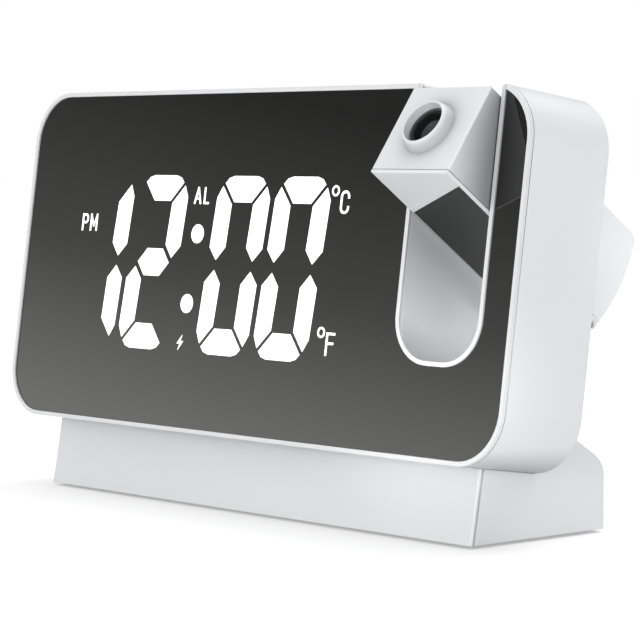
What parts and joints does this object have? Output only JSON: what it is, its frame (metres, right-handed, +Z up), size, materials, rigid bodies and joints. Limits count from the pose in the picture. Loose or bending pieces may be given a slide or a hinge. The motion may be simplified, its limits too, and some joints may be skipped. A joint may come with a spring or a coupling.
{
  "type": "projection alarm clock",
  "caption": "Mirror-fronted alarm clock body on a wedge stand, with lit segment digits and a box-shaped projector arm that tilts in a slot through the body.",
  "frame": {"origin": "middle of the space the clock takes up, on the surface the rubber feet stand on", "axes": "+X to the right seen from the front, +Y from the face to the back, +Z up; the face leans back 8 degrees from vertical"},
  "size_m": [0.19, 0.0676, 0.1074],
  "materials": {
    "white_case": "smooth satin white",
    "inner_white": "matt moulded white",
    "mirror_front": "dark half-mirror, polished",
    "inlay_front": "dark half-mirror inlay, polished",
    "lit_segment": "lit white window",
    "foot_rubber": "matt rubber",
    "lead_rubber": "smooth lead sleeve",
    "screw_steel": "zinc-plated",
    "plated_steel": "bright plated",
    "circuit_board": "solder-mask green",
    "led_body": "clear cast resin",
    "black_plastic": "matt moulded black",
    "grey_ring": "satin grey, ribbed",
    "lens_glass": "coated, polished",
    "slide_glass": "liquid-crystal panel"
  },
  "bodies": {
    "clock": {"stand_shell": "white_case", "base_plate": "inner_white", "rubber_feet": "foot_rubber", "stand_screws": "screw_steel", "body_screws": "screw_steel", "front_bezel": "white_case", "mirror_panel": "mirror_front", "rear_housing": "white_case", "case_screws": "screw_steel", "digit_windows": "lit_segment", "legend_windows": "lit_segment", "light_box": "inner_white", "display_board": "circuit_board", "display_leds": "led_body", "board_connector": "black_plastic", "main_board": "circuit_board", "board_screws": "screw_steel", "power_inlet": "plated_steel", "speaker": "black_plastic", "temperature_sensor": "black_plastic", "cell_holder": "black_plastic", "coin_cell": "plated_steel", "button_board": "circuit_board", "tact_switches": "black_plastic", "pivot_bushes": "black_plastic"},
    "arm": {"arm_housing": "white_case", "arm_cover": "white_case", "arm_glass": "inlay_front", "arm_screws": "screw_steel", "axle_left": "plated_steel", "axle_right": "plated_steel", "friction_washers": "plated_steel", "axle_clips": "screw_steel", "arm_lead": "lead_rubber", "optics_frame": "black_plastic", "slide_panel": "slide_glass", "condenser_lens": "lens_glass", "projector_led": "led_body", "projector_board": "circuit_board"},
    "focus_barrel": {"focus_ring": "grey_ring"},
    "lens_carrier": {"lens_cell": "black_plastic", "projection_lens": "lens_glass"},
    "cell_door": {"battery_door": "white_case"},
    "key_snooze": {"button_snooze": "white_case"},
    "key_mode": {"button_mode": "white_case"},
    "key_set": {"button_set": "white_case"},
    "key_up": {"button_up": "white_case"},
    "key_down": {"button_down": "white_case"}
  },
  "joints": [
    {"name": "arm_tilt", "type": "hinge", "parent": "clock", "child": "arm", "pos_m": [0.0712, -0.00562, 0.0816], "axis": [1, 0, 0], "range_deg": [-152.5, 27.5]},
    {"name": "focus_turn", "type": "hinge", "parent": "arm", "child": "focus_barrel", "pos_m": [0.0712, -0.00562, 0.0816], "axis": [0, -0.8141, 0.5807], "range_deg": [-60, 60]},
    {"name": "lens_slide", "type": "slide", "parent": "arm", "child": "lens_carrier", "axis": [0, -0.8141, 0.5807], "range_m": [-0.001, 0.001]},
    {"name": "cell_door_off", "type": "slide", "parent": "clock", "child": "cell_door", "axis": [0, 0.9903, -0.1392], "range_m": [0, 0.015]},
    {"name": "press_snooze", "type": "slide", "parent": "clock", "child": "key_snooze", "axis": [0, -0.9903, 0.1392], "range_m": [0, 0.0008], "stiffness_N_per_m": 300, "springref_m": -0.0005},
    {"name": "press_mode", "type": "slide", "parent": "clock", "child": "key_mode", "axis": [0, -0.9903, 0.1392], "range_m": [0, 0.0008], "stiffness_N_per_m": 300, "springref_m": -0.0005},
    {"name": "press_set", "type": "slide", "parent": "clock", "child": "key_set", "axis": [0, -0.9903, 0.1392], "range_m": [0, 0.0008], "stiffness_N_per_m": 300, "springref_m": -0.0005},
    {"name": "press_up", "type": "slide", "parent": "clock", "child": "key_up", "axis": [0, -0.9903, 0.1392], "range_m": [0, 0.0008], "stiffness_N_per_m": 300, "springref_m": -0.0005},
    {"name": "press_down", "type": "slide", "parent": "clock", "child": "key_down", "axis": [0, -0.9903, 0.1392], "range_m": [0, 0.0008], "stiffness_N_per_m": 300, "springref_m": -0.0005}
  ],
  "couplings": [
    {"joint": "focus_turn", "follows": "lens_slide", "rad_per_m": 1047}
  ]
}
